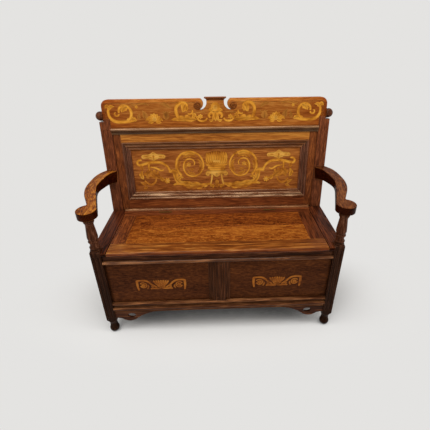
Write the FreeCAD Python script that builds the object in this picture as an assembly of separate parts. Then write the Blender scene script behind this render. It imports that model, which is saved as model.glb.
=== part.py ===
# Box-seat hall settle in oak: a framed box with a hinged seat lid, turned front legs that
# rise to carry shaped arms, and a raked panelled back under an inlaid crest board.
# +X runs along the bench, +Y from its front to its back, +Z up, in millimetres.
import FreeCAD, Part
import math
import os

from FreeCAD import Placement, Rotation, Vector

# Overall sizes
width = 1070.0  # across the outer faces of the legs
seat_height = 469.0  # floor to the top of the seat
seat_depth = 373.0  # front face of the front legs to front face of the back legs
back_rise = 538.0  # seat to crest top, measured up the rake
back_rake = 6.0  # degrees that the back leans
arm_height = 666.0  # floor to the top of the arms, over the front legs

# Legs
front_leg_square = 43.0
back_leg_width = 50.0
back_leg_depth = 44.0
leg_rise = 6.0  # the front leg's square above the seat
foot_height = 84.0  # floor to where the square begins
foot_radius = 22.0
foot_flat = 2.5  # how much of the ball is cut off to stand on
flute_radius = 6.0
flute_depth = 3.0
flute_spacing = 18.0
flute_margin = 22.0  # plain wood left above and below a flute
flute_low = 108.0  # where the front flutes begin
back_flute_low = 221.0  # up the rake, above the arm
back_flute_high = 401.0

# Framed box under the seat
board_thickness = 20.0  # seat frame and its end strips
rail_thickness = 24.0
panel_thickness = 10.0
panel_housing = 7.0  # how far a panel enters the grooves round it
top_rail_height = 42.0
top_rail_setback = 10.0
top_bead_height = 17.0
top_bead_reach = 11.0
bottom_rail_low = 129.0
bottom_rail_height = 55.0
bottom_rail_setback = 2.0
panel_setback = 16.0  # box panels behind the leg faces
muntin_width = 94.0
muntin_flat = 36.0  # its raised middle, between the mouldings
muntin_setback = 6.0
muntin_bead = 9.0
side_setback = 10.0
side_top_rail_height = 50.0
side_bottom_rail_height = 60.0
box_back_setback = 12.0
box_back_rail_height = 60.0
ledger = 20.0
floor_board_thickness = 12.0
floor_boards = 4
floor_board_gap = 1.0

# Apron brackets
bracket_length = 240.0
bracket_drop = 57.0
bracket_thickness = 12.0
bracket_setback = 6.0
bracket_hole_width = 40.0
bracket_hole_height = 27.0

# Seat
lid_side_width = 61.5
lid_front_width = 72.0
lid_rear_width = 26.0
lid_front_board_width = 124.0
lid_board_joint = 75.0  # place along X of the joint between the rear boards
lid_overhang = 2.0
lid_gap = 3.5  # joint round the lid
lid_lift = 0.3  # shut lid above the rail that it rests on
strip_width = 64.0  # fixed strip at each end of the seat
hinge_rail_width = 27.0  # fixed strip that shows behind the lid
rear_bead = 8.0
board_chamfer = 1.5

# Hinges
hinge_place = 265.0
hinge_length = 62.0
hinge_leaf_height = 15.0
hinge_leaf_thickness = 1.5
hinge_radius = 3.5
hinge_pin_radius = 1.5
hinge_axis_rise = 1.0
hinge_fit = 0.5
hinge_knuckles = 5
knuckle_gap = 0.4
screw_head_radius = 3.0
screw_head_height = 1.2
screw_radius = 1.6
screw_length = 13.0
screw_spacing = 22.0

# Arms and their turned supports
arm_thickness = 32.0
arm_tilt = 1.83  # degrees that the arm rises to the back
arm_rear_drop = 27.0  # extra depth where the arm meets the back leg
arm_bow = 47.0  # how far the arm swells outside the legs
scroll_radius = 39.5
scroll_outer_end = 75.0  # degrees round the scroll where the arm's outer edge leaves it
scroll_inner_end = 155.0
arm_softening = 2.5
arm_seat = 1.0  # how far the collar of a support is let into the arm
crook_radius = 6.0  # in the corners where the scroll meets the arm
spigot_radius = 9.0
spigot_length = 20.0

# Back, measured in its own leaning plane
frame_setback = 6.0
frame_thickness = 24.0
stile_width = 37.0
back_bottom_low = 4.0
back_bottom_high = 56.0
back_top_low = 345.0
back_top_high = 411.0
moulding_width = 38.0
panel_recess = 8.0  # back panel behind its frame
crest_bottom = 411.0
crest_shoulder = 453.0  # where the crest passes over the back legs
crest_thickness = 30.0
crest_setback = 2.0
crest_half_width = 516.0
crest_corner = 30.0
crest_line_inset = 15.0
crest_line_width = 3.0
crest_line_depth = 1.5
crest_moulding_height = 28.0
crest_moulding_reach = 15.0
cap_height = 15.5
cap_stand = 6.0  # cap above the line of the crest's top
cap_edge = 6.0  # its square upper edge
cap_half_top = 50.0
cap_half_bottom = 40.0
cap_reach = 8.0
slot_drop = 22.0  # crest top down to the narrowest part of a cut-out
knob_rise = 466.0  # up the rake, to the middle of the knobs
knob_gap = 2.0  # between a knob and the top of the back leg
knob_base_radius = 23.0
knob_base = 4.5
knob_radius = 21.0
knob_length = 35.0
knob_spigot_radius = 6.0
knob_spigot_length = 18.0

# Joints
tenon_length = 22.0
front_tenon_length = 15.0  # where two rails meet in a front leg
tenon_thickness = 9.0
tenon_shoulder = 9.0
fit = 0.3  # clearance round tenons and panels
fit_end = 1.0  # clearance at the bottom of mortises and grooves
softening = 1.2  # rounded arrises

half = width / 2
inner = half - back_leg_width
front_inner = half - front_leg_square
seat_under = seat_height - board_thickness
block_top = seat_height + leg_rise
arm_under = arm_height - arm_thickness
leg_x = half - front_leg_square / 2
leg_y = front_leg_square / 2
back_leg_x = half - back_leg_width / 2
rake = math.radians(back_rake)
back_face = seat_depth
hinge_y = seat_depth - hinge_rail_width - lid_gap / 2
hinge_z = seat_height + hinge_axis_rise
lid_half = half - strip_width - lid_gap
lean_place = Placement(Vector(0, seat_depth, seat_height), Rotation(Vector(1, 0, 0), -back_rake))
parts = {}


def block(x0, x1, y0, y1, z0, z1):
    return Part.makeBox(x1 - x0, y1 - y0, z1 - z0, Vector(x0, y0, z0))


def on_x(x):
    return lambda u, v: Vector(x, u, v)


def on_y(y):
    return lambda u, v: Vector(u, y, v)


def on_z(z):
    return lambda u, v: Vector(u, v, z)


def outline(plane, start, steps):
    # A step is a point, for a straight run, or a pair of points, for an arc through the first.
    edges = []
    here = plane(*start)
    for step in steps:
        if isinstance(step[0], tuple):
            there = plane(*step[1])
            edges.append(Part.Arc(here, plane(*step[0]), there).toShape())
        else:
            there = plane(*step)
            edges.append(Part.LineSegment(here, there).toShape())
        here = there
    return Part.Face(Part.Wire(edges))


def along_x(x0, x1, start, *steps):
    return outline(on_x(x0), start, steps + (start,)).extrude(Vector(x1 - x0, 0, 0))


def along_y(y0, y1, start, *steps):
    return outline(on_y(y0), start, steps + (start,)).extrude(Vector(0, y1 - y0, 0))


def along_z(z0, z1, start, *steps):
    return outline(on_z(z0), start, steps + (start,)).extrude(Vector(0, 0, z1 - z0))


def turned(x, y, start, *steps):
    # Spins an outline of radius and height about a vertical axis.
    face = outline(on_y(0), start, steps + (start,))
    spun = face.revolve(Vector(0, 0, 0), Vector(0, 0, 1), 360)
    spun.translate(Vector(x, y, 0))
    return Part.Solid(spun) if spun.ShapeType == "Shell" else spun


def grown(shape, x, y, z):
    # The box round a shape, larger by the given clearances on every side.
    box = shape.BoundBox
    return block(box.XMin - x, box.XMax + x, box.YMin - y, box.YMax + y, box.ZMin - z, box.ZMax + z)


def joined(*shapes):
    whole = shapes[0]
    for shape in shapes[1:]:
        whole = whole.fuse(shape)
    return whole.removeSplitter()


def rounded(shape, radius, wanted):
    edges = [edge for edge in shape.Edges if wanted(edge)]
    return shape.makeFillet(radius, edges)


def lean(shape):
    # Puts a piece drawn upright on the seat edge into the leaning plane of the back.
    placed = shape.copy()
    placed.Placement = lean_place.multiply(placed.Placement)
    return placed


def other_hand(shape):
    return shape.mirror(Vector(0, 0, 0), Vector(1, 0, 0))


def straight_along(edge, direction):
    line = edge.Curve
    return hasattr(line, "Direction") and abs(abs(line.Direction.dot(direction)) - 1) < 1e-6


def pair(name, right_shape):
    parts[name + "_right"] = right_shape
    parts[name + "_left"] = other_hand(right_shape)


def flute(x, face, low, high):
    # A round-ended groove cut into a face at y = face, from the front.
    axis = face - (flute_radius - flute_depth)
    rod = Part.makeCylinder(flute_radius, high - low, Vector(x, axis, low), Vector(0, 0, 1))
    ends = [Part.makeSphere(flute_radius, Vector(x, axis, z)) for z in (low, high)]
    return joined(rod, *ends)


def flutes(x, face, low, high):
    return [flute(x + side * flute_spacing / 2, face, low, high) for side in (-1, 1)]


def tenons_x(x, y_middle, low, high, length=tenon_length):
    # Tenons at both ends of a rail that runs from -x to x.
    y0 = y_middle - tenon_thickness / 2
    y1 = y_middle + tenon_thickness / 2
    right = block(x, x + length, y0, y1, low + tenon_shoulder, high - tenon_shoulder)
    return [right, other_hand(right)]


def tenons_y(x_middle, y0, y1, low, high):
    # Tenons at both ends of a rail that runs from a front leg at y0 to a back leg at y1.
    x0 = x_middle - tenon_thickness / 2
    x1 = x_middle + tenon_thickness / 2
    z0 = low + tenon_shoulder
    z1 = high - tenon_shoulder
    return [block(x0, x1, y0 - front_tenon_length, y0, z0, z1),
            block(x0, x1, y1, y1 + tenon_length, z0, z1)]


def mortised(shape, tenons, axis):
    # Cuts a pocket for each tenon that enters along the given axis.
    gaps = [fit, fit, fit]
    gaps[axis] = fit_end
    for tenon in tenons:
        shape = shape.cut(grown(tenon, *gaps))
    return shape


def grooved(shape, panel, thin_axis):
    # Cuts the groove that holds the edge of a panel.
    gaps = [fit_end, fit_end, fit_end]
    gaps[thin_axis] = fit
    return shape.cut(grown(panel, *gaps))


# Heights and places that several pieces share
front_rail_back = top_rail_setback + rail_thickness
front_rail_middle = top_rail_setback + rail_thickness / 2
top_rail_high = seat_under - lid_lift
top_rail_low = top_rail_high - top_rail_height
bottom_rail_high = bottom_rail_low + bottom_rail_height
side_outer = half - side_setback
side_inner = side_outer - rail_thickness
side_middle = side_outer - rail_thickness / 2
side_top_low = seat_under - side_top_rail_height
side_bottom_high = bottom_rail_low + side_bottom_rail_height
box_back_front = back_face + box_back_setback
box_back_rear = box_back_front + rail_thickness
box_back_middle = box_back_front + rail_thickness / 2
box_back_top_low = seat_under - box_back_rail_height
box_back_bottom_high = bottom_rail_low + box_back_rail_height

# Box front: rails, muntin and two panels
front_top_tenons = tenons_x(
    front_inner, front_rail_middle, top_rail_low, top_rail_high, front_tenon_length)
front_bottom_tenons = tenons_x(
    front_inner, front_rail_middle, bottom_rail_low, bottom_rail_high, front_tenon_length)
front_panel = block(
    muntin_width / 2 - panel_housing, front_inner + panel_housing,
    panel_setback, panel_setback + panel_thickness,
    bottom_rail_high - panel_housing, top_rail_low + panel_housing)
front_panels = [front_panel, other_hand(front_panel)]


def bottom_rail_section():
    # Hollow foot, bead, hollow, and a beaded top edge that falls back to the panels.
    face = bottom_rail_setback
    low = bottom_rail_low
    high = bottom_rail_high
    return along_x(
        -front_inner, front_inner, (front_rail_back, low), (face + 4, low),
        ((face + 6, low + 7), (face + 3, low + 13)), (face, low + 14),
        ((face - 4, low + 21), (face, low + 28)), (face + 4, low + 29), (face + 4, low + 31),
        ((face + 10, low + 37), (face + 4, high - 12)), (face + 1, high - 11),
        ((face, high - 5.5), (face + 5, high - 1)),
        (panel_setback - 2, high), (front_rail_back, high))


bottom_rail = joined(bottom_rail_section(), *front_bottom_tenons)
muntin_half = muntin_width / 2
flat_half = muntin_flat / 2
bead_end = flat_half + muntin_bead
muntin_tenon = block(-flat_half, flat_half,
                     front_rail_middle - tenon_thickness / 2, front_rail_middle + tenon_thickness / 2,
                     bottom_rail_high - tenon_length, top_rail_low + top_rail_height / 2)


def muntin_flank(side):
    # Groove, bead, hollow and edge bead, from the raised middle out to one panel.
    face = muntin_setback
    deep = panel_setback - 3
    return [
        (side * flat_half, face), (side * (flat_half + 0.5), face + 4), (side * (flat_half + 1.5), face + 4),
        ((side * (flat_half + bead_end) / 2, face - 1), (side * bead_end, face + 4)),
        (side * (bead_end + 1), deep),
        ((side * (bead_end + 8), panel_setback - 1), (side * (muntin_half - 6), deep)),
        ((side * (muntin_half - 2.5), deep - 1.5), (side * muntin_half, panel_setback - 1))]


def backwards(steps, start):
    # The same edges walked the other way, ending at the given point.
    ends = [start] + [step[1] if isinstance(step[0], tuple) else step for step in steps]
    turned_back = []
    for number in range(len(steps) - 1, -1, -1):
        step = steps[number]
        end = ends[number]
        turned_back.append((step[0], end) if isinstance(step[0], tuple) else end)
    return turned_back


right_flank = muntin_flank(1)
left_flank = muntin_flank(-1)
muntin = along_z(
    bottom_rail_high - 7, top_rail_low, (-muntin_half, front_rail_back),
    (-muntin_half, panel_setback - 1), *backwards(left_flank[1:], left_flank[0]), *right_flank,
    (muntin_half, front_rail_back)).cut(bottom_rail)
bottom_rail = mortised(bottom_rail, [muntin_tenon], 2)
for groove in flutes(0, muntin_setback, bottom_rail_high + flute_margin, top_rail_low - flute_margin):
    muntin = muntin.cut(groove)
top_rail = joined(
    block(-front_inner, front_inner, top_rail_setback, front_rail_back, top_rail_low, top_rail_high),
    *front_top_tenons)
top_rail = mortised(top_rail, [muntin_tenon], 2)
for panel in front_panels:
    muntin = grooved(muntin, panel, 1)
    bottom_rail = grooved(bottom_rail, panel, 1)
    top_rail = grooved(top_rail, panel, 1)
parts["front_bottom_rail"] = bottom_rail
parts["front_top_rail"] = top_rail
parts["front_muntin"] = joined(muntin, muntin_tenon)
pair("front_panel", front_panel)

# Moulding planted along the top rail, under the lid
bead_back = top_rail_setback
bead_front = top_rail_setback - top_bead_reach
parts["front_top_bead"] = along_x(
    -front_inner, front_inner, (bead_back, top_rail_low), (bead_front + 6, top_rail_low),
    (bead_front + 3, top_rail_low + 3),
    ((bead_front, top_rail_low + top_bead_height / 2),
     (bead_front + 3, top_rail_low + top_bead_height - 3)),
    (bead_front + 6, top_rail_low + top_bead_height - 1), (bead_back, top_rail_low + top_bead_height))

# Apron brackets, shaped and pierced, under the ends of the bottom rail
hole_x = front_inner - 0.32 * bracket_length
hole_z = bottom_rail_low - 0.42 * bracket_drop


def bracket_point(along, down):
    return (front_inner - along * bracket_length, bottom_rail_low - down * bracket_drop)


bracket = along_y(
    bracket_setback, bracket_setback + bracket_thickness,
    bracket_point(0, 0), bracket_point(0, 0.64), bracket_point(0.04, 0.66),
    bracket_point(0.13, 0.73), (bracket_point(0.28, 1.0), bracket_point(0.42, 0.74)),
    bracket_point(0.50, 0.49), (bracket_point(0.72, 0.11), bracket_point(1, 0.03)), bracket_point(1, 0))
hole_ring = Part.Ellipse(Vector(0, 0, 0), bracket_hole_width / 2, bracket_hole_height / 2).toShape()
hole = Part.Face(Part.Wire(hole_ring)).extrude(Vector(0, 0, bracket_thickness))
hole.rotate(Vector(0, 0, 0), Vector(1, 0, 0), -90)
hole.translate(Vector(hole_x, bracket_setback, hole_z))
pair("apron_bracket", bracket.cut(hole))

# Box ends: rails and a panel between a front and a back leg
side_top_tenons = tenons_y(side_middle, front_leg_square, back_face, side_top_low, seat_under)
side_bottom_tenons = tenons_y(side_middle, front_leg_square, back_face, bottom_rail_low, side_bottom_high)
side_panel = block(side_middle - panel_thickness / 2, side_middle + panel_thickness / 2,
                   front_leg_square - panel_housing, back_face + panel_housing,
                   side_bottom_high - panel_housing, side_top_low + panel_housing)
side_top = joined(block(side_inner, side_outer, front_leg_square, back_face, side_top_low, seat_under),
                  *side_top_tenons)
side_bottom = joined(
    block(side_inner, side_outer, front_leg_square, back_face, bottom_rail_low, side_bottom_high),
    *side_bottom_tenons)
pair("side_top_rail", grooved(side_top, side_panel, 0))
pair("side_bottom_rail", grooved(side_bottom, side_panel, 0))
pair("side_panel", side_panel)

# Box back: rails and a panel between the back legs
box_back_top_tenons = tenons_x(inner, box_back_middle, box_back_top_low, seat_under)
box_back_bottom_tenons = tenons_x(inner, box_back_middle, bottom_rail_low, box_back_bottom_high)
box_back_panel = block(-inner - panel_housing, inner + panel_housing,
                       box_back_middle - panel_thickness / 2, box_back_middle + panel_thickness / 2,
                       box_back_bottom_high - panel_housing, box_back_top_low + panel_housing)
box_back_top = joined(block(-inner, inner, box_back_front, box_back_rear, box_back_top_low, seat_under),
                      *box_back_top_tenons)
box_back_bottom = joined(
    block(-inner, inner, box_back_front, box_back_rear, bottom_rail_low, box_back_bottom_high),
    *box_back_bottom_tenons)
parts["box_back_top_rail"] = grooved(box_back_top, box_back_panel, 1)
parts["box_back_bottom_rail"] = grooved(box_back_bottom, box_back_panel, 1)
parts["box_back_panel"] = box_back_panel

# Box floor: boards from front to back, laid on two ledgers
ledger_high = bottom_rail_high - ledger
ledger_low = ledger_high - ledger
floor_high = ledger_high + floor_board_thickness
front_ledger_end = front_inner - floor_board_gap
back_ledger_end = inner - floor_board_gap
parts["floor_ledger_front"] = block(-front_ledger_end, front_ledger_end,
                                    front_rail_back, front_rail_back + ledger, ledger_low, ledger_high)
parts["floor_ledger_back"] = block(-back_ledger_end, back_ledger_end,
                                   box_back_front - ledger, box_back_front, ledger_low, ledger_high)
floor_half = side_inner - floor_board_gap
board_pitch = (2 * floor_half + floor_board_gap) / floor_boards
legs_plan = []
for end, y0, y1 in ((front_ledger_end, 0, front_leg_square + floor_board_gap),
                    (back_ledger_end, back_face - floor_board_gap, box_back_rear)):
    right_leg = block(end, half, y0, y1, ledger_low, floor_high)
    legs_plan.extend([right_leg, other_hand(right_leg)])
for number in range(floor_boards):
    start = -floor_half + number * board_pitch
    board = block(start, start + board_pitch - floor_board_gap, front_rail_back, box_back_front,
                  ledger_high, floor_high)
    for corner in legs_plan:
        board = board.cut(corner)
    parts["floor_board_%d" % (number + 1)] = board

# Seat ends and the fixed strip that carries the hinges
nose = board_thickness / 2
strip_inner = half - strip_width


def nosed(x0, x1, rear):
    # A board with a half-round front edge.
    front = -lid_overhang
    return along_x(
        x0, x1, (front + nose, seat_under), ((front, seat_under + nose), (front + nose, seat_height)),
        (rear, seat_height), (rear, seat_under))


seat_end = joined(nosed(strip_inner, front_inner, front_leg_square),
                  block(strip_inner, half, front_leg_square, back_face, seat_under, seat_height))
pair("seat_end", seat_end)
hinge_rail_front = hinge_y + lid_gap / 2
lid_rear = hinge_y - lid_gap / 2
hinge_rail = joined(block(-strip_inner, strip_inner, hinge_rail_front, back_face, seat_under, seat_height),
                    block(-inner, inner, back_face, box_back_rear, seat_under, seat_height))
parts["rear_bead"] = along_x(
    -strip_inner, strip_inner, (back_face + frame_setback, seat_height),
    (back_face - rear_bead, seat_height),
    ((back_face - rear_bead * math.cos(math.pi / 4), seat_height + rear_bead * math.sin(math.pi / 4)),
     (back_face, seat_height + rear_bead)), (back_face + frame_setback, seat_height + rear_bead))

# Seat lid: a frame with a long front board and two rear boards let into it
lid_front = lid_front_width - lid_overhang
lid_back = lid_rear - lid_rear_width
stile_inner = lid_half - lid_side_width
lid_middle = (seat_under + seat_height) / 2
lid_joint = lid_front + lid_front_board_width
tongue_low = lid_middle - panel_thickness / 4
tongue_high = lid_middle + panel_thickness / 4
tongue = block(-stile_inner - panel_housing, stile_inner + panel_housing,
               lid_front - panel_housing, lid_back + panel_housing, tongue_low, tongue_high)
lid_tenon = block(stile_inner + tenon_shoulder, lid_half - tenon_shoulder,
                  lid_front - tenon_length, lid_back + lid_rear_width / 2 + tenon_shoulder / 2,
                  lid_middle - tenon_thickness / 2, lid_middle + tenon_thickness / 2)
lid_tenons = [lid_tenon, other_hand(lid_tenon)]
lid_front_rail = grooved(nosed(-lid_half, lid_half, lid_front), tongue, 2)
lid_rear_rail = grooved(block(-lid_half, lid_half, lid_back, lid_rear, seat_under, seat_height), tongue, 2)
lid_stile = grooved(block(stile_inner, lid_half, lid_front, lid_back, seat_under, seat_height), tongue, 2)
parts["lid_front_rail"] = mortised(lid_front_rail, lid_tenons, 1)
lid_rear_rail = mortised(lid_rear_rail, lid_tenons, 1)
pair("lid_stile", joined(lid_stile, lid_tenon))


def lid_board(x0, x1, y0, y1):
    top = block(x0, x1, y0, y1, seat_under, seat_height)
    top = top.makeChamfer(board_chamfer, [edge for edge in top.Edges
                                          if edge.BoundBox.ZMin > seat_height - softening])
    reach = [panel_housing * (abs(side) == stile_inner) for side in (x0, x1)]
    return joined(top, block(x0 - reach[0], x1 + reach[1], y0 - panel_housing * (y0 == lid_front),
                             y1 + panel_housing * (y1 == lid_back), tongue_low, tongue_high))


parts["lid_board_front"] = lid_board(-stile_inner, stile_inner, lid_front, lid_joint)
parts["lid_board_rear_left"] = lid_board(-stile_inner, lid_board_joint, lid_joint, lid_back)
parts["lid_board_rear_right"] = lid_board(lid_board_joint, stile_inner, lid_joint, lid_back)

# Butt hinges: leaves let into the edges of the lid and the hinge rail, knuckles on a pin
knuckle_length = hinge_length / hinge_knuckles
screw_z = hinge_z - hinge_leaf_height * 0.6


def barrel(x0, x1, radius):
    return Part.makeCylinder(radius, x1 - x0, Vector(x0, hinge_y, hinge_z), Vector(1, 0, 0))


def screw(x, face, way):
    # A countersunk screw with its head flush in a leaf's face, driven along Y.
    place = Vector(x, face, screw_z)
    head = Part.makeCone(screw_head_radius, screw_radius, screw_head_height, place, Vector(0, way, 0))
    return joined(head, Part.makeCylinder(screw_radius, screw_length, place, Vector(0, way, 0)))


def hinge_leaf(x_middle, way, first):
    # way is 1 for the leaf on the hinge rail and -1 for the leaf on the lid.
    start = x_middle - hinge_length / 2
    face = hinge_y + way * lid_gap / 2
    back = face + way * hinge_leaf_thickness
    leaf = block(start, start + hinge_length, min(face, back), max(face, back),
                 hinge_z - hinge_leaf_height, hinge_z)
    for number in range(hinge_knuckles):
        x0 = start + number * knuckle_length
        x1 = x0 + knuckle_length
        if number % 2 == first:
            leaf = joined(leaf, barrel(x0 + knuckle_gap / 2, x1 - knuckle_gap / 2, hinge_radius))
        else:
            leaf = leaf.cut(barrel(x0 - knuckle_gap / 2, x1 + knuckle_gap / 2, hinge_radius + hinge_fit))
    leaf = leaf.cut(barrel(start - 1, start + hinge_length + 1, hinge_pin_radius + fit))
    return leaf


fixed_leaves = []
lid_leaves = []
pins = []
fixed_screws = []
lid_screws = []
for side in (-1, 1):
    middle = side * hinge_place
    left_end = middle - hinge_length / 2
    fixed_leaf = hinge_leaf(middle, 1, 0)
    lid_leaf = hinge_leaf(middle, -1, 1)
    recess = barrel(left_end - hinge_fit, left_end + hinge_length + hinge_fit, hinge_radius + hinge_fit)
    hinge_rail = hinge_rail.cut(recess).cut(fixed_leaf)
    lid_rear_rail = lid_rear_rail.cut(recess).cut(lid_leaf)
    for step in (-1, 0, 1):
        screw_x = middle + step * screw_spacing
        fixed_screw = screw(screw_x, hinge_rail_front, 1)
        lid_screw = screw(screw_x, lid_rear, -1)
        fixed_leaf = fixed_leaf.cut(fixed_screw)
        lid_leaf = lid_leaf.cut(lid_screw)
        hinge_rail = hinge_rail.cut(fixed_screw)
        lid_rear_rail = lid_rear_rail.cut(lid_screw)
        fixed_screws.append(fixed_screw)
        lid_screws.append(lid_screw)
    fixed_leaves.append(fixed_leaf)
    lid_leaves.append(lid_leaf)
    pins.append(barrel(left_end, left_end + hinge_length, hinge_pin_radius))
parts["hinge_rail"] = hinge_rail
parts["lid_rear_rail"] = lid_rear_rail
parts["hinge_fixed_leaves"] = Part.makeCompound(fixed_leaves)
parts["hinge_lid_leaves"] = Part.makeCompound(lid_leaves)
parts["hinge_pins"] = Part.makeCompound(pins)
parts["hinge_fixed_screws"] = Part.makeCompound(fixed_screws)
parts["hinge_lid_screws"] = Part.makeCompound(lid_screws)

# Arms: flat boards that swell outwards and end in a round scroll over the front leg
arm_rise = arm_height - seat_height
arm_back = seat_depth + arm_rise * math.tan(rake)
arm_run = arm_back - leg_y


def swell(run, bow):
    # A point that far along the arm's run and that far outside the legs.
    return (half + bow * arm_bow, leg_y + run * arm_run)


def smooth(points):
    curve = Part.BSplineCurve()
    curve.interpolate([Vector(x, y, 0) for x, y in points])
    return curve.toShape()


def scroll_rim(degrees):
    turn = math.radians(degrees)
    return (leg_x + scroll_radius * math.cos(turn), leg_y + scroll_radius * math.sin(turn))


outer_edge = [scroll_rim(scroll_outer_end)] + [
    swell(run, bow) for run, bow in
    ((0.176, -0.01), (0.283, 0.393), (0.42, 0.788), (0.565, 0.985), (0.721, 0.957), (0.855, 0.82),
     (0.936, 0.61), (0.99, 0.35), (1.04, 0.04))]
inner_edge = [scroll_rim(scroll_inner_end)] + [
    swell(run, bow) for run, bow in
    ((0.1625, -0.915), (0.251, -0.69), (0.385, -0.351), (0.53, -0.064), (0.614, -0.01), (0.694, -0.075),
     (0.81, -0.22), (0.925, -0.53), (0.975, -0.85), (1.005, -1.063))]
scroll_front = scroll_rim((scroll_outer_end + scroll_inner_end) / 2 + 180)
arm_rear_end = Part.LineSegment(Vector(*outer_edge[-1], 0), Vector(*inner_edge[-1], 0)).toShape()
scroll = Part.Arc(*[Vector(x, y, 0) for x, y in (inner_edge[0], scroll_front, outer_edge[0])]).toShape()
arm_plan = Part.Face(Part.Wire([smooth(outer_edge), arm_rear_end, smooth(inner_edge), scroll]))
arm_plan.translate(Vector(0, 0, arm_under - arm_rear_drop))
arm_board = rounded(
    arm_plan.extrude(Vector(0, 0, arm_thickness + arm_rear_drop)), crook_radius,
    lambda edge: straight_along(edge, Vector(0, 0, 1)) and edge.BoundBox.YMax < leg_y + 2 * scroll_radius)
arm_board = rounded(
    arm_board, arm_softening,
    lambda edge: edge.BoundBox.ZMin > arm_height - 0.1 and not hasattr(edge.Curve, "Direction"))
arch_start = leg_y + 0.5 * arm_run
deep = arm_under - arm_rear_drop
arch = along_x(
    0, 2 * width, (-2 * scroll_radius, deep - 1), (-2 * scroll_radius, arm_under), (arch_start, arm_under),
    ((leg_y + 0.78 * arm_run, arm_under - 0.48 * arm_rear_drop), (arm_back + 8, deep)),
    (arm_back + 8, deep - 1))
arm_lift = arm_run * math.tan(math.radians(arm_tilt))
arm_tenon = block(back_leg_x - tenon_thickness, back_leg_x + tenon_thickness, arm_back - tenon_shoulder,
                  arm_back + tenon_length, arm_under + arm_lift, arm_height + arm_lift - tenon_shoulder)

# Front legs: ball foot, fluted square, turned arm support and a spigot up into the arm
pommel_low = foot_height - 30
ball_z = foot_radius - foot_flat
foot_neck = 13.5
ball_top = ball_z + math.sqrt(foot_radius ** 2 - foot_neck ** 2)
foot_pad = math.sqrt(foot_radius ** 2 - ball_z ** 2)
corner = front_leg_square * 0.72
collar_radius = 24
square = rounded(block(front_inner, half, 0, front_leg_square, pommel_low, block_top), softening,
                 lambda edge: straight_along(edge, Vector(0, 0, 1)))
envelope = turned(
    leg_x, leg_y, (0, pommel_low), (17, pommel_low), ((22, pommel_low + 17), (corner, foot_height)),
    (corner, block_top - 5), (front_leg_square / 2 + 2, block_top), (0, block_top))
foot = turned(
    leg_x, leg_y, (0, 0), (foot_pad, 0), ((foot_radius, ball_z), (foot_neck, ball_top)),
    (foot_neck, ball_top + 1), (15.5, ball_top + 2), ((17.5, ball_top + 5), (15.5, ball_top + 8)),
    (14.5, ball_top + 9), ((14.8, pommel_low - 3), (17, pommel_low)), (17, pommel_low + 2),
    (0, pommel_low + 2))
support = turned(
    leg_x, leg_y, (0, block_top - 2), (19.5, block_top - 2), (19.5, block_top),
    ((22, block_top + 3.5), (19.5, block_top + 7)), (17.5, block_top + 7.5),
    ((16.5, block_top + 10.5), (17.5, block_top + 13.5)), (19.5, block_top + 14),
    ((22, block_top + 17.5), (19.5, block_top + 21)), (17.8, block_top + 21.5),
    ((17, block_top + 31), (18.2, block_top + 41)), (19.5, block_top + 41.5),
    ((21.8, block_top + 45.5), (19.5, block_top + 49.5)), (18, block_top + 50), (18, block_top + 53),
    ((21, block_top + 60), (21.6, block_top + 70)),
    ((19, (block_top + arm_under) / 2 + 20), (16.2, arm_under - 32)),
    (17.5, arm_under - 31), (17.5, arm_under - 28), ((21.5, arm_under - 21), (21.5, arm_under - 14)),
    (19.5, arm_under - 13), (19.5, arm_under - 11), ((21, arm_under - 5), (collar_radius, arm_under - 1)),
    (collar_radius, arm_under + arm_seat), (spigot_radius, arm_under + arm_seat),
    (spigot_radius, arm_under + spigot_length), (0, arm_under + spigot_length))
front_leg = joined(square.common(envelope), foot, support)
for groove in flutes(leg_x, 0, flute_low, block_top - flute_margin - leg_rise):
    front_leg = front_leg.cut(groove)
front_leg = mortised(front_leg, [front_top_tenons[0], front_bottom_tenons[0]], 0)
front_leg = mortised(front_leg, [side_top_tenons[0], side_bottom_tenons[0]], 1)
front_leg = grooved(front_leg, front_panel, 1)
front_leg = grooved(front_leg, side_panel, 0)
pair("front_leg", front_leg)
bore = joined(
    Part.makeCylinder(spigot_radius + fit, spigot_length + fit_end, Vector(leg_x, leg_y, arm_under)),
    Part.makeCylinder(collar_radius + fit, 2 * arm_seat + 1, Vector(leg_x, leg_y, arm_under - arm_seat - 1)))

# Back legs: upright to the seat, then leaning, with a shoulder for the crest and a step for the knob
def leaned(rise, depth):
    # Side-view place of a point that far up the rake and that far behind its face.
    return (back_face + rise * math.sin(rake) + depth * math.cos(rake),
            seat_height + rise * math.cos(rake) - depth * math.sin(rake))


crest_rear = crest_setback + crest_thickness
bend = back_leg_depth * math.tan(rake / 2)
back_leg = along_x(
    inner, half, (back_face, 0), (back_face, seat_height), leaned(crest_shoulder, 0),
    leaned(crest_shoulder, crest_rear),
    leaned(crest_shoulder - back_leg_depth + crest_rear, back_leg_depth),
    leaned(bend, back_leg_depth), (back_face + back_leg_depth, 0))
back_leg = rounded(back_leg, softening, lambda edge: not straight_along(edge, Vector(1, 0, 0)))
knob_step = knob_rise - knob_base_radius - knob_gap
back_leg = back_leg.cut(lean(block(
    crest_half_width - knob_gap, width, -softening, back_leg_depth + softening, knob_step, back_rise)))
knob_y = crest_setback + crest_thickness / 2
knob_hole = Part.makeCylinder(knob_spigot_radius + fit, knob_spigot_length + fit_end + 1,
                              Vector(crest_half_width + 1, knob_y, knob_rise), Vector(-1, 0, 0))
back_leg = back_leg.cut(lean(knob_hole))  # only a knob set lower than the shoulder reaches the leg
arm_board = arm_board.cut(arch)
arm_board.rotate(Vector(0, leg_y, arm_height), Vector(1, 0, 0), arm_tilt)
arm_board = arm_board.cut(lean(block(0, half, 0, 2 * back_leg_width, 0, back_rise)))
for groove in flutes(back_leg_x, 0, back_flute_low, back_flute_high):
    back_leg = back_leg.cut(lean(groove))
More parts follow.
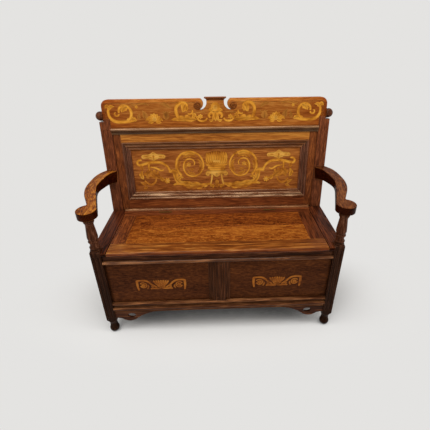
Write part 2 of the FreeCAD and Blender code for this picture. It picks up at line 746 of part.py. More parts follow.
back_leg = mortised(back_leg, [side_top_tenons[1], side_bottom_tenons[1], arm_tenon], 1)
back_leg = mortised(back_leg, [box_back_top_tenons[0], box_back_bottom_tenons[0]], 0)
back_leg = grooved(back_leg, side_panel, 0)
back_leg = grooved(back_leg, box_back_panel, 1)
pair("back_leg", back_leg)

pair("arm", joined(arm_board, arm_tenon).cut(bore))

# Back frame, drawn upright with +Y going back and +Z up the rake
frame_back = frame_setback + frame_thickness
frame_middle = frame_setback + frame_thickness / 2
stile_x = inner - stile_width
low_tenons = tenons_x(stile_x, frame_middle, back_bottom_low, back_bottom_high)
high_tenons = tenons_x(stile_x, frame_middle, back_top_low, back_top_high)
panel_face = frame_setback + panel_recess
back_panel = block(-stile_x - panel_housing, stile_x + panel_housing,
                   panel_face, panel_face + panel_thickness,
                   back_bottom_high - panel_housing, back_top_low + panel_housing)
stile = block(stile_x, inner, frame_setback, frame_back, back_bottom_low, back_top_high)
stile = mortised(stile, [low_tenons[0], high_tenons[0]], 0)
pair("back_stile", lean(grooved(stile, back_panel, 1)))
low_rail = block(-stile_x, stile_x, frame_setback, frame_back, back_bottom_low, back_bottom_high)
high_rail = block(-stile_x, stile_x, frame_setback, frame_back, back_top_low, back_top_high)
parts["back_bottom_rail"] = lean(grooved(joined(low_rail, *low_tenons), back_panel, 1))
parts["back_top_rail"] = lean(grooved(joined(high_rail, *high_tenons), back_panel, 1))
parts["back_panel"] = lean(back_panel)


def reeded_moulding(length):
    # Three reeds and two hollows on a run along X, mitred at both ends, its outer edge at z = 0.
    back = panel_face
    crown = frame_setback - 2
    wide = moulding_width
    run = along_x(
        -length / 2, length / 2, (back, 0), (crown, 0), ((crown - 2.2, wide * 0.11), (crown, wide * 0.22)),
        (crown + 3.5, wide * 0.23), ((crown + 5, wide * 0.32), (crown + 3, wide * 0.41)),
        ((crown + 1, wide * 0.51), (crown + 4, wide * 0.61)), (crown + 5, wide * 0.62),
        ((crown + 7, wide * 0.72), (crown + 5.5, wide * 0.81)),
        ((crown + 3.8, wide * 0.89), (crown + 7.5, wide * 0.97)), (back, wide))
    mitres = along_y(-back, 2 * back, (-length / 2, 0), (length / 2, 0), (length / 2 - wide, wide),
                     (-length / 2 + wide, wide))
    return run.common(mitres)


def framing(name, length, turn, x, z):
    run = reeded_moulding(length)
    run.rotate(Vector(0, 0, 0), Vector(0, 1, 0), turn)
    run.translate(Vector(x, 0, z))
    parts["back_moulding_" + name] = lean(run)


opening_height = back_top_low - back_bottom_high
opening_middle = (back_top_low + back_bottom_high) / 2
framing("bottom", 2 * stile_x, 0, 0, back_bottom_high)
framing("top", 2 * stile_x, 180, 0, back_top_low)
framing("right", opening_height, -90, stile_x, opening_middle)
framing("left", opening_height, 90, -stile_x, opening_middle)

# Crest board: rounded ears over the back legs and a cut-out at each side of the middle cap
crest_front = crest_setback
round_off = crest_corner * (1 - math.sqrt(0.5))
neck_top = back_rise - cap_height + cap_stand
slot_middle = back_rise - slot_drop
crest_half = [
    (0, crest_bottom), (inner, crest_bottom), (inner, crest_shoulder), (crest_half_width, crest_shoulder),
    (crest_half_width, back_rise - crest_corner),
    ((crest_half_width - round_off, back_rise - round_off), (crest_half_width - crest_corner, back_rise)),
    (70, back_rise), ((66.5, back_rise - 1.5), (64.5, back_rise - 4)),
    ((55.3, slot_middle), (66, slot_middle - 22.5)), ((69.5, slot_middle - 25.5), (66.5, slot_middle - 28.5)),
    ((48.5, slot_middle - 17.5), (cap_half_bottom, slot_middle + 4)), (cap_half_bottom, neck_top),
    (0, neck_top)]
crest_right = along_y(crest_front, crest_rear, *crest_half)
crest = joined(crest_right, other_hand(crest_right))
line_deep = crest_front + crest_line_depth


def border(inset):
    # Outline inside the top and the end of the crest board, from the cut-out to the shoulder.
    bend = crest_corner - inset
    turn_off = bend * (1 - math.sqrt(0.5))
    side = crest_half_width - inset
    top = back_rise - inset
    return along_y(
        crest_front - 1, line_deep, (80, crest_shoulder + 4), (side, crest_shoulder + 4), (side, top - bend),
        ((side - turn_off, top - turn_off), (side - bend, top)), (80, top))


line = border(crest_line_inset).cut(border(crest_line_inset + crest_line_width))
beside = block(crest_half_width, width, crest_front, crest_rear, knob_step, back_rise)  # the knob's own room
for cutter in (line, knob_hole, beside):
    crest = crest.cut(cutter).cut(other_hand(cutter))
parts["crest_board"] = lean(crest)

# Cap on the neck between the cut-outs
edge_low = neck_top + cap_height - cap_edge
cap_top = neck_top + cap_height
cap_front = crest_front - cap_reach
cap = along_y(
    cap_front, crest_rear, (0, neck_top), (cap_half_bottom, neck_top),
    ((cap_half_bottom + 2.5, neck_top + 6), (cap_half_top - 2, edge_low)), (cap_half_top, edge_low),
    (cap_half_top, cap_top), (-cap_half_top, cap_top), (-cap_half_top, edge_low),
    (2 - cap_half_top, edge_low),
    ((-cap_half_bottom - 2.5, neck_top + 6), (-cap_half_bottom, neck_top)))
cap = cap.common(along_x(
    -cap_half_top, cap_half_top, (crest_rear, neck_top), (crest_front, neck_top),
    ((crest_front - 1.5, neck_top + 6), (cap_front + 1.5, edge_low)), (cap_front, edge_low),
    (cap_front, cap_top - 1.5), ((cap_front + 0.5, cap_top - 0.5), (cap_front + 1.5, cap_top)),
    (crest_rear, cap_top)))
parts["crest_cap"] = lean(cap)

# Moulding along the top rail, under the crest board
rail_face = frame_setback
shelf = back_top_high - crest_moulding_height
nosing = rail_face - crest_moulding_reach
parts["crest_moulding"] = lean(along_x(
    -inner, inner, (rail_face, shelf), (rail_face - 4.5, shelf), (rail_face - 5.5, shelf + 2.5),
    ((rail_face - 7, shelf + 10), (rail_face - 12, shelf + 15)), (nosing, shelf + 17),
    ((nosing - 1, shelf + 21), (nosing, shelf + 25)), (nosing + 2, back_top_high),
    (rail_face, back_top_high)))

# Turned knobs on the ends of the crest board
ball_middle = knob_length - knob_radius
ball_start = math.sqrt(knob_radius ** 2 - (ball_middle - knob_base) ** 2)
side_way = math.radians(30)
knob = turned(
    0, 0, (0, -knob_spigot_length), (knob_spigot_radius, -knob_spigot_length), (knob_spigot_radius, 0),
    (knob_base_radius - 1.5, 0), ((knob_base_radius, knob_base / 2), (knob_base_radius - 1.5, knob_base)),
    (ball_start, knob_base),
    ((knob_radius * math.cos(side_way), ball_middle + knob_radius * math.sin(side_way)), (0, knob_length)))
knob.rotate(Vector(0, 0, 0), Vector(0, 1, 0), 90)
knob.translate(Vector(crest_half_width, knob_y, knob_rise))
pair("crest_knob", lean(knob))

# Centre the settle over the origin and write the files
whole = Part.makeCompound(list(parts.values())).optimalBoundingBox()
shift = Vector(0, -(whole.YMin + whole.YMax) / 2, 0)
os.makedirs("parts", exist_ok=True)
for name, shape in parts.items():
    shape.translate(shift)
    if not shape.isValid() or shape.Volume < 1:
        raise ValueError("bad solid: " + name)
    shape.exportStep("parts/" + name + ".step")
print("%d parts, box %.1f x %.1f x %.1f, shift %.2f" % (
    len(parts), whole.XLength, whole.YLength, whole.ZLength, shift.y))
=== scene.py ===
# Box-seat hall settle in polished oak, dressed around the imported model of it.
from math import atan2, cos, pi, radians, sin

import bpy
from mathutils import Matrix, Vector


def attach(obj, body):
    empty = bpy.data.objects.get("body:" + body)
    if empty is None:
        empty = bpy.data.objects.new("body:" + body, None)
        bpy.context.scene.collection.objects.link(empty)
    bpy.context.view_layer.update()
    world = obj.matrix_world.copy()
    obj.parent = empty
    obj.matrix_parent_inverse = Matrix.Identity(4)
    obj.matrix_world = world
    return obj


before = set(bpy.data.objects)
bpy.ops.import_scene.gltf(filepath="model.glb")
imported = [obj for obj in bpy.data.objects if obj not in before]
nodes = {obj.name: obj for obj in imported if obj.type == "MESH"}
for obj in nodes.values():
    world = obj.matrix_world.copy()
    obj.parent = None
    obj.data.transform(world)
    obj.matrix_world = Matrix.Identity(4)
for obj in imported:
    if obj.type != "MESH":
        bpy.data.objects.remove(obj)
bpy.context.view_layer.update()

mm = 0.001
print("frame loaded:", len(nodes), "nodes")


# Helpers that all materials share

def linear(hexColour):  # sRGB hex to the linear values that Blender works in
    parts = [int(hexColour[i:i + 2], 16) / 255 for i in (1, 3, 5)]
    return [c / 12.92 if c <= 0.04045 else ((c + 0.055) / 1.055) ** 2.4 for c in parts] + [1.0]


def addNode(tree, kind, inputs=None, stops=None, **settings):  # an input is a value or another node's output
    node = tree.nodes.new(kind)
    for name, value in settings.items():
        setattr(node, name, value)
    for name, value in (inputs or {}).items():
        if isinstance(value, bpy.types.NodeSocket):
            tree.links.new(value, node.inputs[name])
        else:
            node.inputs[name].default_value = value
    if stops:
        ramp = node.color_ramp
        while len(ramp.elements) < len(stops):
            ramp.elements.new(0.5)
        for element, (place, colour) in zip(ramp.elements, stops):
            element.position = place
            element.color = linear(colour) if isinstance(colour, str) else (colour, colour, colour, 1)
    return node


def newMaterial(name):
    mat = bpy.data.materials.new(name)
    mat.use_nodes = True
    mat.node_tree.nodes.clear()
    return mat, mat.node_tree


# Polished oak: open-pored ring-porous timber, stained and French polished, so a thin film of shellac
# sits over streaky grain; the hollows darken with dirt and painted shade, the arrises pale with worn
# edges and a painted highlight, and where a side colour is given, faces that don't face up darken with
# painted shade.
grainTurn = {"x": (0, 0, 0), "y": (0, 0, radians(90)), "z": (0, radians(90), 0)}
# Noise scales count features to the metre; hollow, arris and relief are in metres
figure = {"drift": 14, "bend": 0.035, "broad": 16, "broadShare": 0.28, "spread": 0.17, "pores": 620,
          "poreRun": 0.035, "rays": 105, "hollow": 0.03, "arris": 0.0025, "relief": 0.0006}
armSpan = {"From Min": -0.198, "From Max": 0.172}  # where an arm's swell starts and ends, in metres
# Colour of dirt in the hollows, used also as their painted shade
dirtAndShade = "#160A06"
shellac = {"IOR": 1.5, "Specular Tint": linear("#FFC890"), "Coat IOR": 1.52}  # amber film over wood


def oak(name, dark, middle, light, grain="x", run=0.07, streak=1.0, fleck=0.0, shine=0.16, polish=0.06,
        rough=(0.44, 0.30), growth=165, edgeWearAndHighlight=0.45, side=None, bow=0.0, shift=0.0, zones=()):
    mat, tree = newMaterial(name)
    place = addNode(tree, "ShaderNodeTexCoord")
    spot = place.outputs["Object"]
    if bow:  # grain that follows an arm's swell
        parts = addNode(tree, "ShaderNodeSeparateXYZ", {0: spot})
        reach = addNode(tree, "ShaderNodeMapRange", {"Value": parts.outputs[1], **armSpan})
        swell = addNode(tree, "ShaderNodeValToRGB", {"Fac": reach.outputs[0]},
                        stops=((0.1, 0.0), (0.34, 0.5), (0.6, 1.0), (0.8, 0.75), (1.0, 0.0)))
        swell.color_ramp.interpolation = "B_SPLINE"
        slide = addNode(tree, "ShaderNodeMath", {0: swell.outputs[0], 1: bow}, operation="MULTIPLY")
        aside = addNode(tree, "ShaderNodeMath", {0: parts.outputs[0], 1: slide.outputs[0]},
                        operation="SUBTRACT")
        spot = addNode(tree, "ShaderNodeCombineXYZ", {0: aside.outputs[0], 1: parts.outputs[1],
                                                      2: parts.outputs[2]}).outputs[0]
    turned = addNode(tree, "ShaderNodeMapping", {"Vector": spot, "Rotation": grainTurn[grain],
                                                 "Location": (shift, shift * 0.7, shift * 1.3)})
    along = addNode(tree, "ShaderNodeMapping", {"Vector": turned.outputs[0], "Scale": (run, 1, 1)})
    # Growth bands 4 to 6 mm apart, bent by a slow drift of the grain
    drift = addNode(tree, "ShaderNodeTexNoise", {"Vector": along.outputs[0], "Scale": figure["drift"],
                                                 "Detail": 3})
    bent = addNode(tree, "ShaderNodeMixRGB", {"Fac": figure["bend"], "Color1": along.outputs[0],
                                              "Color2": drift.outputs["Color"]})
    bands = addNode(tree, "ShaderNodeTexNoise", {"Vector": bent.outputs[0], "Scale": growth, "Detail": 5,
                                                 "Roughness": 0.62})
    broad = addNode(tree, "ShaderNodeTexNoise", {"Vector": along.outputs[0], "Scale": figure["broad"],
                                                 "Detail": 2})
    tone = addNode(tree, "ShaderNodeMixRGB", {"Fac": figure["broadShare"], "Color1": bands.outputs["Fac"],
                                              "Color2": broad.outputs["Fac"]})
    half = figure["spread"] / streak
    colour = addNode(tree, "ShaderNodeValToRGB", {"Fac": tone.outputs[0]},
                     stops=((0.5 - half, dark), (0.5, middle), (0.5 + half, light)))
    # Open pores: the real ones are 0.3 mm wide, drawn here at 1 to 2 mm so that they show
    fine = addNode(tree, "ShaderNodeMapping", {"Vector": turned.outputs[0],
                                               "Scale": (figure["poreRun"], 1, 1)})
    pores = addNode(tree, "ShaderNodeTexNoise", {"Vector": fine.outputs[0], "Scale": figure["pores"],
                                                 "Detail": 2, "Roughness": 0.5})
    poreMask = addNode(tree, "ShaderNodeValToRGB", {"Fac": pores.outputs["Fac"]},
                       stops=((0.30, 0.8), (0.44, 0.0)))
    porous = addNode(tree, "ShaderNodeMixRGB", {"Fac": poreMask.outputs[0], "Color1": colour.outputs[0],
                                                "Color2": linear(dark)})
    # Medullary rays: pale ribbons, about 10 by 20 mm, across quarter-sawn boards
    rays = addNode(tree, "ShaderNodeMapping", {"Vector": turned.outputs[0], "Scale": (0.5, 1, 0.6),
                                               "Rotation": (0, 0, radians(24))})
    flecks = addNode(tree, "ShaderNodeTexNoise", {"Vector": rays.outputs[0], "Scale": figure["rays"],
                                                  "Detail": 2, "Distortion": 1.6})
    fleckMask = addNode(tree, "ShaderNodeValToRGB", {"Fac": flecks.outputs["Fac"]},
                        stops=((0.50, 0.0), (0.64, 1.0)))
    fleckShare = addNode(tree, "ShaderNodeMath", {0: fleckMask.outputs[0], 1: fleck}, operation="MULTIPLY")
    rayed = addNode(tree, "ShaderNodeMixRGB", {"Fac": fleckShare.outputs[0], "Color1": porous.outputs[0],
                                               "Color2": linear(light)})
    if side:  # faces that don't face up are multiplied by the side colour: painted shade below lit tops
        way = addNode(tree, "ShaderNodeSeparateXYZ", {0: place.outputs["Normal"]})
        sideShadeMask = addNode(tree, "ShaderNodeValToRGB", {"Fac": way.outputs[2]},
                        stops=((0.55, 1.0), (0.93, 0.0)))
        rayed = addNode(tree, "ShaderNodeMixRGB", {"Fac": sideShadeMask.outputs[0], "Color1": rayed.outputs[0],
                                                   "Color2": linear(side)}, blend_type="MULTIPLY")
    for axis, low, high, stops in zones:  # colour multiplied along the piece, darker towards one end; on the crest moulding, painted light
        parts = addNode(tree, "ShaderNodeSeparateXYZ", {0: place.outputs["Object"]})
        far = addNode(tree, "ShaderNodeMath", {0: parts.outputs[axis]}, operation="ABSOLUTE")
        reach = addNode(tree, "ShaderNodeMapRange", {"Value": far.outputs[0], "From Min": low,
                                                     "From Max": high})
        shade = addNode(tree, "ShaderNodeValToRGB", {"Fac": reach.outputs[0]}, stops=stops)
        rayed = addNode(tree, "ShaderNodeMixRGB", {"Fac": 1.0, "Color1": rayed.outputs[0],
                                                   "Color2": shade.outputs[0]}, blend_type="MULTIPLY")
    # Old polish and dust darken the hollows, together with painted shade
    hollow = addNode(tree, "ShaderNodeAmbientOcclusion", {"Distance": figure["hollow"]}, samples=6)
    deep = addNode(tree, "ShaderNodeValToRGB", {"Fac": hollow.outputs["AO"]},
                   stops=((0.25, 0.85), (0.85, 0.0)))
    dirtiedAndShaded = addNode(tree, "ShaderNodeMixRGB", {"Fac": deep.outputs[0], "Color1": rayed.outputs[0],
                                              "Color2": linear(dirtAndShade)})
    # Worn arrises, paled also as a painted highlight
    soft = addNode(tree, "ShaderNodeBevel", {"Radius": figure["arris"]}, samples=4)
    flat = addNode(tree, "ShaderNodeNewGeometry")
    bend = addNode(tree, "ShaderNodeVectorMath", {0: soft.outputs[0], 1: flat.outputs["Normal"]},
                   operation="DOT_PRODUCT")
    edge = addNode(tree, "ShaderNodeValToRGB", {"Fac": bend.outputs["Value"]},
                   stops=((0.80, edgeWearAndHighlight), (0.985, 0.0)))
    wornAndHighlit = addNode(tree, "ShaderNodeMixRGB", {"Fac": edge.outputs[0], "Color1": dirtiedAndShaded.outputs[0],
                                                "Color2": linear(light)})
    satin = addNode(tree, "ShaderNodeMapRange", {"Value": bands.outputs["Fac"], "To Min": rough[0],
                                                 "To Max": rough[1]})
    relief = addNode(tree, "ShaderNodeMixRGB", {"Fac": 0.5, "Color1": pores.outputs["Fac"],
                                                "Color2": bands.outputs["Fac"]})
    bump = addNode(tree, "ShaderNodeBump", {"Height": relief.outputs[0], "Strength": 0.18,
                                            "Distance": figure["relief"]})
    shader = addNode(tree, "ShaderNodeBsdfPrincipled", {
        "Base Color": wornAndHighlit.outputs[0], "Roughness": satin.outputs[0], "Normal": bump.outputs[0],
        "Specular IOR Level": shine, "Coat Weight": polish, "Coat Roughness": 0.14, **shellac})
    addNode(tree, "ShaderNodeOutputMaterial", {"Surface": shader.outputs[0]})
    return mat


# Hinge metals: tarnished brass leaves and steel screws and pins
def metal(name, grime, colour, rough):
    mat, tree = newMaterial(name)
    place = addNode(tree, "ShaderNodeTexCoord")
    tarnish = addNode(tree, "ShaderNodeTexNoise", {"Vector": place.outputs["Object"], "Scale": 260,
                                                   "Detail": 4})
    tint = addNode(tree, "ShaderNodeValToRGB", {"Fac": tarnish.outputs["Fac"]},
                   stops=((0.35, grime), (0.62, colour)))
    dull = addNode(tree, "ShaderNodeMapRange", {"Value": tarnish.outputs["Fac"], "To Min": rough + 0.25,
                                                "To Max": rough})
    shader = addNode(tree, "ShaderNodeBsdfPrincipled", {"Base Color": tint.outputs[0], "Metallic": 1.0,
                                                        "Roughness": dull.outputs[0]})
    addNode(tree, "ShaderNodeOutputMaterial", {"Surface": shader.outputs[0]})
    return mat


# Which timber each piece is cut from, and which way its grain runs. A zone fades the colour along an
# axis, from one distance to another from the settle's middle or floor, in metres.
# A side colour darkens every face that doesn't face up, as painted shade.
timber = {
    "legDark": dict(dark="#2A1209", middle="#4E2917", light="#865840", shine=0.05, polish=0.03,
                    zones=[(2, 0.0, 0.60, ((0.0, 0.22), (0.60, 0.32), (0.77, 0.36), (0.84, 1.0)))]),
    "railDark": dict(dark="#220D06", middle="#422012", light="#7A4A2C", shine=0.08, polish=0.04, streak=1.5),
    "railWarm": dict(dark="#301408", middle="#552E18", light="#9A643C", shine=0.12, polish=0.05, streak=1.5),
    "postDark": dict(dark="#240F07", middle="#42220F", light="#6A3E26", shine=0.06, polish=0.04, edgeWearAndHighlight=0.7),
    "panelDark": dict(dark="#2C1207", middle="#4A2511", light="#6A3A1B", run=0.2, growth=240, fleck=0.25,
                      shine=0.05, polish=0.01, streak=1.2),
    "railRed": dict(dark="#6E340E", middle="#AC6626", light="#CC8838", growth=210, streak=1.3, polish=0.03),
    "railShade": dict(dark="#3A1B0B", middle="#6E351A", light="#9A5428", growth=210, streak=1.2, shine=0.1,
                      polish=0.03),
    "stileRed": dict(dark="#34160A", middle="#5E2F1A", light="#8E4E2C", growth=210, streak=1.1, shine=0.12,
                     polish=0.04),
    "seatEnd": dict(dark="#260E07", middle="#462011", light="#723A1E", streak=1.6, shine=0.05, polish=0.01,
                    side="#6A5046"),
    "mouldDark": dict(dark="#2E140D", middle="#562C1D", light="#865038", shine=0.6, polish=0.12,
                      rough=(0.3, 0.2)),
    "mouldRed": dict(dark="#3E1C0E", middle="#6E3A1C", light="#C08A58", shine=0.55, polish=0.15, edgeWearAndHighlight=0.85,
                     rough=(0.26, 0.18)),
    "lidRed": dict(dark="#401806", middle="#6A2F0F", light="#9E561E", run=0.14, fleck=0.8, streak=1.5,
                   shine=0.08, polish=0.03),
    "lidGold": dict(dark="#5C2708", middle="#884314", light="#BA722A", run=0.12, fleck=0.6, streak=1.5,
                    shine=0.08, polish=0.03),
    "lidRail": dict(dark="#4E230B", middle="#864718", light="#B47634", side="#C4A490", edgeWearAndHighlight=0.7, shine=0.2,
                    polish=0.12, streak=1.6),
    "crestGold": dict(dark="#864212", middle="#B26626", light="#D08A3E", run=0.08, growth=230, streak=1.2,
                      shine=0.12, polish=0.03,
                      zones=[(2, 0.878, 1.004, ((0.0, 0.90), (0.19, 0.88), (0.23, 0.76), (0.82, 0.74),
                                                (0.88, 1.0))),
                             (0, 0.36, 0.53, ((0.0, "#FFFFFF"), (0.75, "#DCC0B0"), (1.0, "#B48C78")))]),
    "backPanel": dict(dark="#5A2A0C", middle="#925020", light="#B67234", run=0.08, growth=230, streak=1.2,
                      shine=0.1, polish=0.03),
    "armGold": dict(dark="#451C09", middle="#7C3C0E", light="#BA7628", side="#5A3C38", shine=0.04,
                    polish=0.01, run=0.2, growth=210, fleck=0.3, streak=1.6),
    "armBrown": dict(dark="#2E1208", middle="#50240F", light="#844C20", side="#6A4A44", shine=0.04,
                     polish=0.01, run=0.2, growth=210, fleck=0.3, streak=1.5),
    "carved": dict(dark="#34170A", middle="#743C18", light="#A8642A", shine=0.06, polish=0.02, edgeWearAndHighlight=0.6),
    "plain": dict(dark="#5E3F26", middle="#86603E", light="#A47C54", shine=0.1, polish=0.0),
}
cuts = {
    "front_leg": ("legDark", "z", {}),
    "back_leg": ("stileRed", "z", {}),
    # The left arm is given lighter timber than the right: painted light, as if lit from the left.
    "arm_left": ("armGold", "y", dict(bow=-0.053)),
    "arm_right": ("armBrown", "y", dict(bow=0.053)),
    "crest_board": ("crestGold", "x", {}),
    "crest_cap": ("lidRail", "x", {}),
    "crest_knob": ("mouldDark", "x", dict(middle="#4A2414", light="#6E4028", shine=0.15, polish=0.05)),
    # The crest moulding's zone is painted light: full colour at its top as a painted highlight, darker below
    # as painted shade.
    "crest_moulding": ("mouldRed", "x", dict(
        dark="#4E2E1A", middle="#7C5438", light="#B0865E",
        zones=[(2, 0.850, 0.878, ((0.0, 0.30), (0.5, 0.38), (0.70, 0.52), (0.92, 1.0)))])),
    "back_top_rail": ("railRed", "x", {}),
    "back_bottom_rail": ("railShade", "x", {}),
    "back_stile": ("stileRed", "z", dict(middle="#683418", light="#985428")),
    "back_panel": ("backPanel", "x", {}),
    # Panel moulding recoloured per side as painted light: top strip dimmer, bottom brighter, sides darker
    "back_moulding_top": ("mouldRed", "x", dict(middle="#70401F", light="#A06A40", shine=0.3, edgeWearAndHighlight=0.6)),
    "back_moulding_bottom": ("mouldRed", "x", dict(light="#D8AE84")),
    "back_moulding_left": ("mouldDark", "z", {}),
    "back_moulding_right": ("mouldDark", "z", {}),
    "front_top_rail": ("railDark", "x", {}),
    "front_top_bead": ("railWarm", "x", dict(shine=0.2, polish=0.15)),
    "front_bottom_rail": ("railWarm", "x", {}),
    "front_muntin": ("postDark", "z", {}),
    "front_panel": ("panelDark", "x", {}),
    "front_panel_right": ("panelDark", "x", dict(zones=[(2, 0.19, 0.29, ((0.0, 0.72), (0.9, 1.0)))])),
    "apron_bracket": ("railDark", "x", {}),
    "side_top_rail": ("legDark", "y", {}),
    "side_bottom_rail": ("legDark", "y", {}),
    "side_panel": ("panelDark", "z", {}),
    "box_back": ("plain", "x", {}),
    "floor_": ("plain", "y", {}),
    "floor_ledger": ("plain", "x", {}),
    # Seat end and lid stile on the left are lighter than those on the right: painted light from the left.
    "seat_end_left": ("seatEnd", "y", dict(middle="#5A2A16")),
    "seat_end_right": ("seatEnd", "y", {}),
    "hinge_rail": ("railShade", "x", {}),
    "rear_bead": ("mouldRed", "x", {}),
    "lid_front_rail": ("lidRail", "x", {}),
    "lid_rear_rail": ("railShade", "x", {}),
    "lid_stile_left": ("railShade", "y", dict(fleck=0.55, middle="#5E2C14")),
    "lid_stile_right": ("seatEnd", "y", dict(fleck=0.2, middle="#522813")),
    "lid_board_front": ("lidGold", "x", {}),
    "lid_board_rear": ("lidRed", "x", {}),
}
grainShift = 0.37  # moves the grain from piece to piece, in metres
hingeBrass = metal("tarnishedHingeBrass", "#35240F", "#6A4C24", 0.42)  # brass leaves: brown in patches
screwSteel = metal("dullScrewSteel", "#241810", "#5E5850", 0.38)


def dress(name, number):
    if name.startswith("hinge_") and name != "hinge_rail":
        finish = hingeBrass if "leaves" in name else screwSteel
    else:
        stem = max((key for key in cuts if name.startswith(key)), key=len)  # the closest entry
        wood, grain, extra = cuts[stem]
        finish = oak("oak_" + name, grain=grain, shift=grainShift * number, **{**timber[wood], **extra})
    for slot in nodes[name].material_slots:
        slot.material = finish


for number, name in enumerate(sorted(nodes)):
    dress(name, number)
print("timber and metal on the frame")

# Marquetry: veneers half a millimetre thick, sawn to leaves and scrolls and scorched in hot sand along
# one edge to shade them. Each is laid a hundredth of a millimetre above the one drawn before it, so that
# overlaps stay clean; the last ones stand 0.9 mm proud on the crest and 1.1 mm on the panel.
inlay = {"stout": 1.35, "thick": 0.5, "proud": 0.22, "step": 0.012, "lean": 6.0, "footY": 150.52,
         "footZ": 469.0, "crestFace": 2.0, "panelFace": 14.0, "frontY": -206.48, "frontX": 260.5,
         "frontZ": 284.0}  # mm and degrees; stout is how much wider than drawn a shape is made


def onCrest(x, s, lift):
    return onBack(x, s, inlay["crestFace"] - lift)


def onPanel(x, s, lift):
    return onBack(x, s, inlay["panelFace"] - lift)


def onFront(x, s, lift):
    return Vector((inlay["frontX"] + x, inlay["frontY"] - lift, inlay["frontZ"] + s)) * mm


def onBack(x, s, depth):  # s runs up the leaning back, depth goes into it
    lean = radians(inlay["lean"])
    return Vector((x, inlay["footY"] + s * sin(lean) + depth * cos(lean),
                   inlay["footZ"] + s * cos(lean) - depth * sin(lean))) * mm


def flow(points, steps):  # smooth line through the drawn points
    spots = [Vector(p) for p in points]
    spots = [2 * spots[0] - spots[1]] + spots + [2 * spots[-1] - spots[-2]]
    line = []
    for a, b, c, d in zip(spots, spots[1:], spots[2:], spots[3:]):
        for step in range(steps):
            t = step / steps
            line.append(0.5 * (2 * b + (c - a) * t + (2 * a - 5 * b + 4 * c - d) * t ** 2
                               + (3 * b - a - 3 * c + d) * t ** 3))
    return line + [spots[-2]]


def pick(*pieces):  # selects these and nothing else
    bpy.ops.object.select_all(action="DESELECT")
    for piece in pieces:
        piece.select_set(True)
    if pieces:
        bpy.context.view_layer.objects.active = pieces[0]


def layStrip(onFace, line, rows, lift):  # rows: across, ahead, scorch and height for each place across
    last = len(line) - 1
    pick()
    bpy.ops.mesh.primitive_grid_add(x_subdivisions=4, y_subdivisions=last, size=2)
    piece = bpy.context.object
    grain = piece.data.attributes.new("veneer", "FLOAT_VECTOR", "POINT")
    run = [0.0]
    for a, b in zip(line, line[1:]):
        run.append(run[-1] + (b - a).length)
    for corner in piece.data.vertices:
        row = round((corner.co.y + 1) / 2 * last)
        across, ahead, scorch, height = rows[row][round((corner.co.x + 1) * 2)]
        along = (line[min(row + 1, last)] - line[max(row - 1, 0)]).normalized()
        spot = line[row] + Vector((along.y, -along.x)) * across + along * ahead
        corner.co = onFace(spot.x, spot.y, lift + height)
        grain.data[corner.index].vector = (run[row] * mm, across * mm, scorch)
    return piece


# Shares of a leaf's width and how far its root, vein, edge and notches are scorched
leafShape = {"taper": 0.75, "full": 0.9, "trunk": 0.55, "lobe": 0.45, "round": 0.7, "sweep": 0.4,
             "veinOut": 0.35, "veinSweep": 0.3, "root": 0.62, "fade": 0.6, "vein": 0.16, "edge": 0.05}


def leaf(onFace, points, widths, lobes, lift):  # widths and lobes of the left and right halves
    spans = len(points) - 1
    line = flow(points, max(4, 14 // spans, 7 * max(lobes) // spans))
    rows = []
    for place in range(len(line)):
        t = place / (len(line) - 1)
        body = sin(pi * t ** leafShape["taper"])
        row = [(0, 0, leafShape["root"] * (1 - leafShape["fade"] * t), 0)]
        for side, width, count in ((-1, widths[0], lobes[0]), (1, widths[1], lobes[1])):
            swell = abs(sin(pi * count * t)) ** leafShape["round"] if count else 1
            fill = leafShape["trunk"] + leafShape["lobe"] * swell
            out = leafShape["full"] * inlay["stout"] * width * body * fill
            lean = leafShape["sweep"] * width * body * swell if count else 0
            notch = leafShape["root"] * (1 - swell) if count else leafShape["edge"]
            inner = (side * out * leafShape["veinOut"], lean * leafShape["veinSweep"], leafShape["vein"], 0)
            outer = (side * out, lean, notch, 0)
            row = [outer, inner] + row if side < 0 else row + [inner, outer]
        rows.append(row)
    return layStrip(onFace, line, rows, lift)


bandShape = {"steps": 6, "end": 0.4, "across": ((-1, 0.42), (-0.45, 0.12), (0, 0), (0.45, 0.05), (1, 0.3))}


def band(onFace, points, widths, lift):
    start, middle, end = widths
    line = flow(points, bandShape["steps"])
    rows = []
    for place in range(len(line)):
        t = 2 * place / (len(line) - 1)
        half = (start * (1 - t) + middle * t if t < 1 else middle * (2 - t) + end * (t - 1)) / 2
        half *= inlay["stout"] * (bandShape["end"] if place in (0, len(line) - 1) else 1)
        rows.append([(share * half, 0, scorch, 0) for share, scorch in bandShape["across"]])
    return layStrip(onFace, line, rows, lift)


# The notches between a flower's petals are its narrow and scorched parts
flowerShape = {"notch": 0.74, "petal": 0.26, "bright": 0.45, "heart": 0.5, "scorch": 0.3}


def flower(onFace, points, radius, petals, lift):
    pick()
    bpy.ops.mesh.primitive_circle_add(vertices=max(24, 8 * petals), radius=1, fill_type="TRIFAN")
    piece = bpy.context.object
    grain = piece.data.attributes.new("veneer", "FLOAT_VECTOR", "POINT")
    for corner in piece.data.vertices:
        turn = atan2(corner.co.y, corner.co.x)
        reach = corner.co.to_2d().length
        swell = abs(sin(petals * turn / 2)) if petals else 1
        out = radius * reach * (flowerShape["notch"] + flowerShape["petal"] * swell)
        bright = swell > flowerShape["bright"] and reach > flowerShape["heart"]
        grain.data[corner.index].vector = (out * mm, turn * 0.01, 0.0 if bright else flowerShape["scorch"])
        corner.co = onFace(points[0][0] + out * cos(turn), points[0][1] + out * sin(turn), lift)
    return piece


